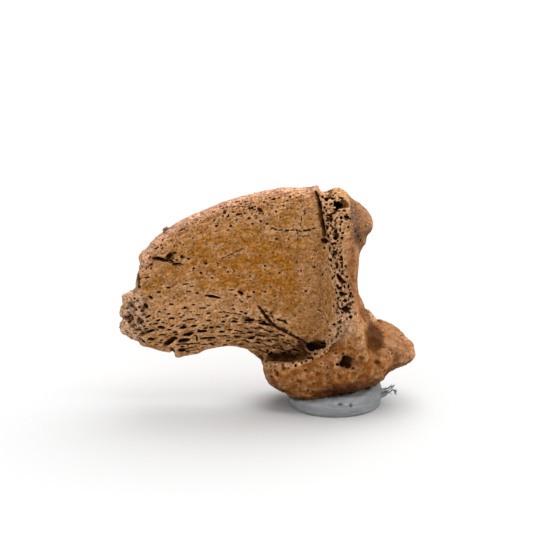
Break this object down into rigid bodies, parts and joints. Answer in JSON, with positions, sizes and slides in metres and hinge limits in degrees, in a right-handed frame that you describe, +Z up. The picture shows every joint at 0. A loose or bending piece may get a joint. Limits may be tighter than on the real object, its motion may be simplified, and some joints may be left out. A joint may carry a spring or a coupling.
{
  "type": "fossil cave bear claw bone",
  "caption": "Fossil claw bone of a cave bear: deep flattened blade with a broken tip and porous flanks, hollow joint behind and tubercle below, standing in a small pat of putty.",
  "frame": {"origin": "on the ground under the middle of the model's box, at the foot of the putty pat", "axes": "+Z up; the claw's blade points to -X and its joint faces +X; the bone's middle plane is Y = 0, and the side that the picture shows faces -Y"},
  "size_m": [0.0442, 0.018, 0.0336],
  "materials": {
    "bone": "matt fossil bone, ochre to pinkish brown with dark pores",
    "putty": "matt light grey mounting putty"
  },
  "bodies": {
    "root": {"claw_bone": "bone", "stand_putty": "putty"}
  },
  "joints": []
}
